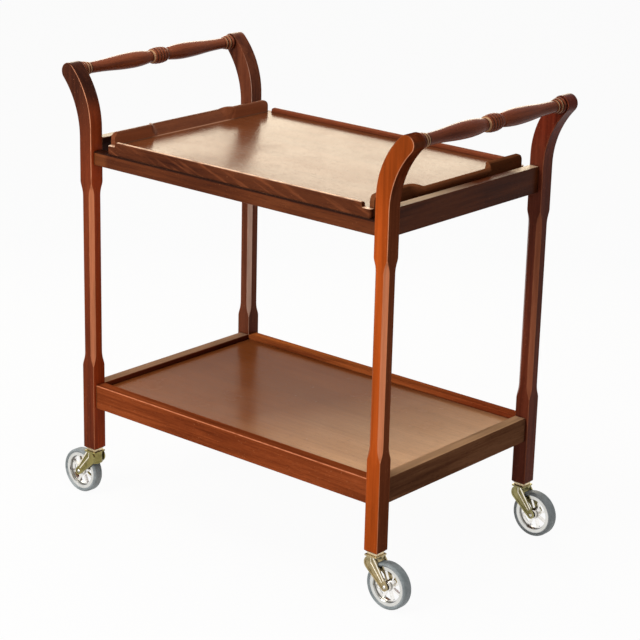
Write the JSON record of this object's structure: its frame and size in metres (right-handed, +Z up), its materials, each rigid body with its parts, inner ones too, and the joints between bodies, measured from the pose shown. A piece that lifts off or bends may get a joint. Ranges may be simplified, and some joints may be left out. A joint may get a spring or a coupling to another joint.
{
  "type": "tea trolley",
  "caption": "Two-tier tea trolley of dark lacquered wood with scroll-topped chamfered legs, turned push handles, a lift-off serving tray, a framed lower shelf and swivel castors.",
  "frame": {"origin": "on the floor under the middle of the trolley", "axes": "+X along the trolley towards the right handle, +Y from the front to the rear, +Z up"},
  "size_m": [0.7896, 0.4324, 0.7813],
  "materials": {
    "frame_wood": "reddish brown mahogany stain under gloss lacquer",
    "handle_wood": "turned mahogany under gloss lacquer",
    "tray_wood": "mahogany under gloss lacquer",
    "panel_wood": "mahogany veneer under gloss lacquer",
    "castor_brass": "pressed brass, aged",
    "castor_steel": "plain bright steel",
    "wheel_metal": "bright cast wheel",
    "tyre_rubber": "grey rubber, slightly worn"
  },
  "bodies": {
    "trolley_frame": {"leg_front_left": "frame_wood", "leg_front_right": "frame_wood", "leg_rear_left": "frame_wood", "leg_rear_right": "frame_wood", "upper_rail_front": "frame_wood", "upper_rail_rear": "frame_wood", "upper_rail_left": "frame_wood", "upper_rail_right": "frame_wood", "lower_rail_front": "frame_wood", "lower_rail_rear": "frame_wood", "lower_rail_left": "frame_wood", "lower_rail_right": "frame_wood", "handle_left": "handle_wood", "handle_right": "handle_wood", "shelf_panel": "panel_wood", "castor_socket_front_left": "castor_brass", "castor_socket_front_right": "castor_brass", "castor_socket_rear_left": "castor_brass", "castor_socket_rear_right": "castor_brass"},
    "tray": {"tray_panel": "panel_wood", "tray_board_front": "tray_wood", "tray_board_rear": "tray_wood", "tray_end_left": "tray_wood", "tray_end_right": "tray_wood", "tray_batten_left": "tray_wood", "tray_batten_right": "tray_wood"},
    "castor_front_left": {"castor_fork_front_left": "castor_brass", "castor_stem_front_left": "castor_steel", "castor_axle_front_left": "castor_steel"},
    "wheel_front_left": {"castor_wheel_front_left": "wheel_metal", "castor_tyre_front_left": "tyre_rubber"},
    "castor_front_right": {"castor_fork_front_right": "castor_brass", "castor_stem_front_right": "castor_steel", "castor_axle_front_right": "castor_steel"},
    "wheel_front_right": {"castor_wheel_front_right": "wheel_metal", "castor_tyre_front_right": "tyre_rubber"},
    "castor_rear_left": {"castor_fork_rear_left": "castor_brass", "castor_stem_rear_left": "castor_steel", "castor_axle_rear_left": "castor_steel"},
    "wheel_rear_left": {"castor_wheel_rear_left": "wheel_metal", "castor_tyre_rear_left": "tyre_rubber"},
    "castor_rear_right": {"castor_fork_rear_right": "castor_brass", "castor_stem_rear_right": "castor_steel", "castor_axle_rear_right": "castor_steel"},
    "wheel_rear_right": {"castor_wheel_rear_right": "wheel_metal", "castor_tyre_rear_right": "tyre_rubber"}
  },
  "joints": [
    {"name": "tray_lift", "type": "slide", "parent": "trolley_frame", "child": "tray", "axis": [0, 0, 1], "range_m": [0, 0.2]},
    {"name": "castor_swivel_front_left", "type": "hinge", "parent": "trolley_frame", "child": "castor_front_left", "pos_m": [-0.3248, -0.2018, 0.0861], "axis": [0, 0, 1], "continuous": true},
    {"name": "wheel_spin_front_left", "type": "hinge", "parent": "castor_front_left", "child": "wheel_front_left", "pos_m": [-0.3548, -0.2018, 0.04], "axis": [0, 1, 0], "continuous": true},
    {"name": "castor_swivel_front_right", "type": "hinge", "parent": "trolley_frame", "child": "castor_front_right", "pos_m": [0.3248, -0.2018, 0.0861], "axis": [0, 0, 1], "continuous": true},
    {"name": "wheel_spin_front_right", "type": "hinge", "parent": "castor_front_right", "child": "wheel_front_right", "pos_m": [0.3548, -0.2018, 0.04], "axis": [0, 1, 0], "continuous": true},
    {"name": "castor_swivel_rear_left", "type": "hinge", "parent": "trolley_frame", "child": "castor_rear_left", "pos_m": [-0.3248, 0.2018, 0.0861], "axis": [0, 0, 1], "continuous": true},
    {"name": "wheel_spin_rear_left", "type": "hinge", "parent": "castor_rear_left", "child": "wheel_rear_left", "pos_m": [-0.3548, 0.2018, 0.04], "axis": [0, 1, 0], "continuous": true},
    {"name": "castor_swivel_rear_right", "type": "hinge", "parent": "trolley_frame", "child": "castor_rear_right", "pos_m": [0.3248, 0.2018, 0.0861], "axis": [0, 0, 1], "continuous": true},
    {"name": "wheel_spin_rear_right", "type": "hinge", "parent": "castor_rear_right", "child": "wheel_rear_right", "pos_m": [0.3548, 0.2018, 0.04], "axis": [0, 1, 0], "continuous": true}
  ]
}
